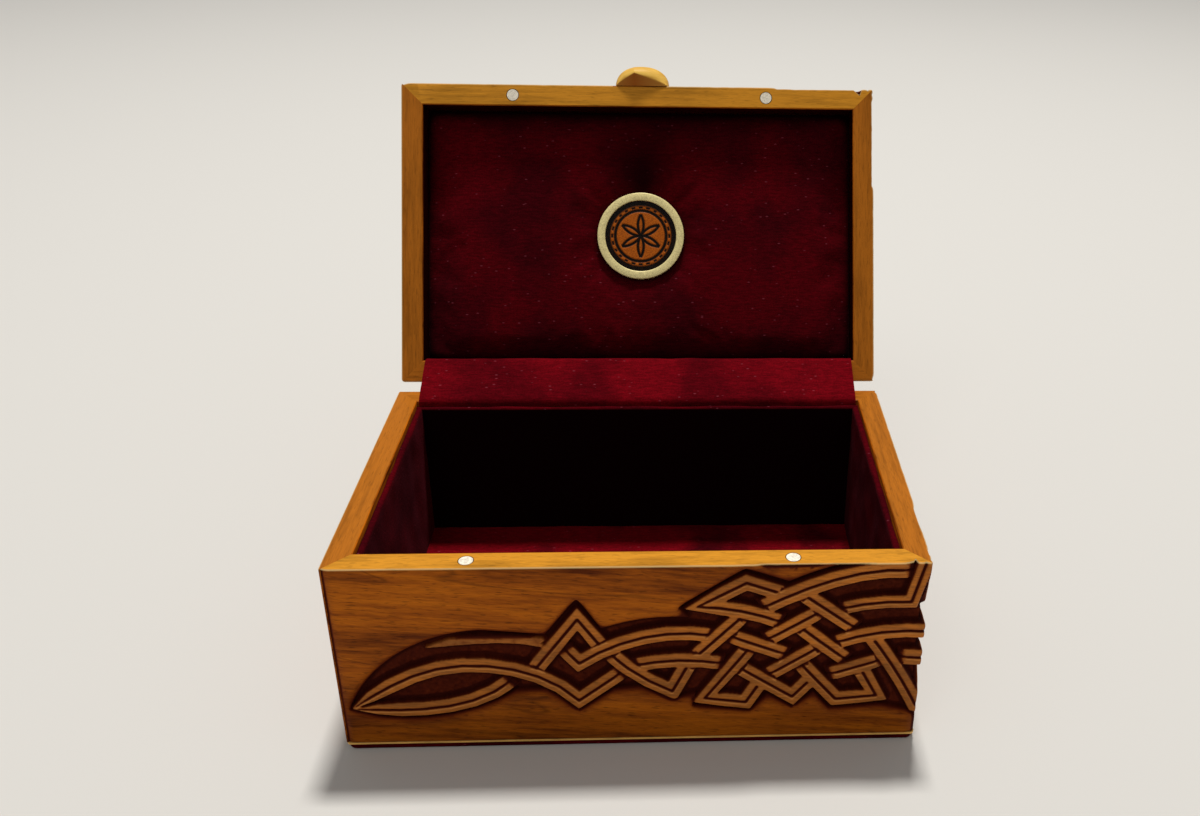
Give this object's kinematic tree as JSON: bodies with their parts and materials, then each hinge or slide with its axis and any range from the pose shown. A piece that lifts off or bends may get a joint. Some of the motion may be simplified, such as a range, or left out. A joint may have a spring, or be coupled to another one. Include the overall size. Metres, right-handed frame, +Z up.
{
  "type": "keepsake chest",
  "caption": "Wooden keepsake chest with a gently domed hinged lid, interlace carving, velvet lining and magnetic closure.",
  "frame": {"origin": "middle of the underside, on the surface that the chest stands on", "axes": "+X to the right along the carved front, +Y from the front to the hinges, +Z up; the lid rests open"},
  "size_m": [0.21, 0.2152, 0.207],
  "materials": {
    "walnut": "oiled",
    "board": "raw",
    "boxwood": "polished",
    "badge_wood": "satin",
    "velvet": "pile",
    "hinge_brass": "satin",
    "strip_brass": "polished",
    "badge_metal": "textured",
    "magnet": "satin"
  },
  "bodies": {
    "box": {"front_wall": "walnut", "rear_wall": "walnut", "left_wall": "walnut", "right_wall": "walnut", "bottom_board": "board", "brass_base_strip": "strip_brass", "base_pad": "velvet", "floor_lining": "velvet", "front_lining": "velvet", "rear_lining": "velvet", "left_lining": "velvet", "right_lining": "velvet", "box_magnet_left": "magnet", "box_magnet_right": "magnet", "box_hinge_leaf_left": "hinge_brass", "box_hinge_leaf_right": "hinge_brass", "hinge_pin_left": "hinge_brass", "hinge_pin_right": "hinge_brass", "box_hinge_screws": "hinge_brass", "hinge_cloth": "velvet"},
    "lid": {"lid_front_rail": "walnut", "lid_rear_rail": "walnut", "lid_left_rail": "walnut", "lid_right_rail": "walnut", "lid_top_panel": "walnut", "lid_lining": "velvet", "badge_ring": "badge_metal", "badge_disc": "badge_wood", "thumb_pull": "boxwood", "pull_tenon": "boxwood", "lid_magnet_left": "magnet", "lid_magnet_right": "magnet", "lid_hinge_leaf_left": "hinge_brass", "lid_hinge_leaf_right": "hinge_brass", "lid_hinge_screws": "hinge_brass"}
  },
  "joints": [
    {"name": "lid_hinge", "type": "hinge", "parent": "box", "child": "lid", "pos_m": [0, 0.0695, 0.0791], "axis": [1, 0, 0], "range_deg": [0, 116.6], "deforming": ["hinge_cloth"]}
  ]
}
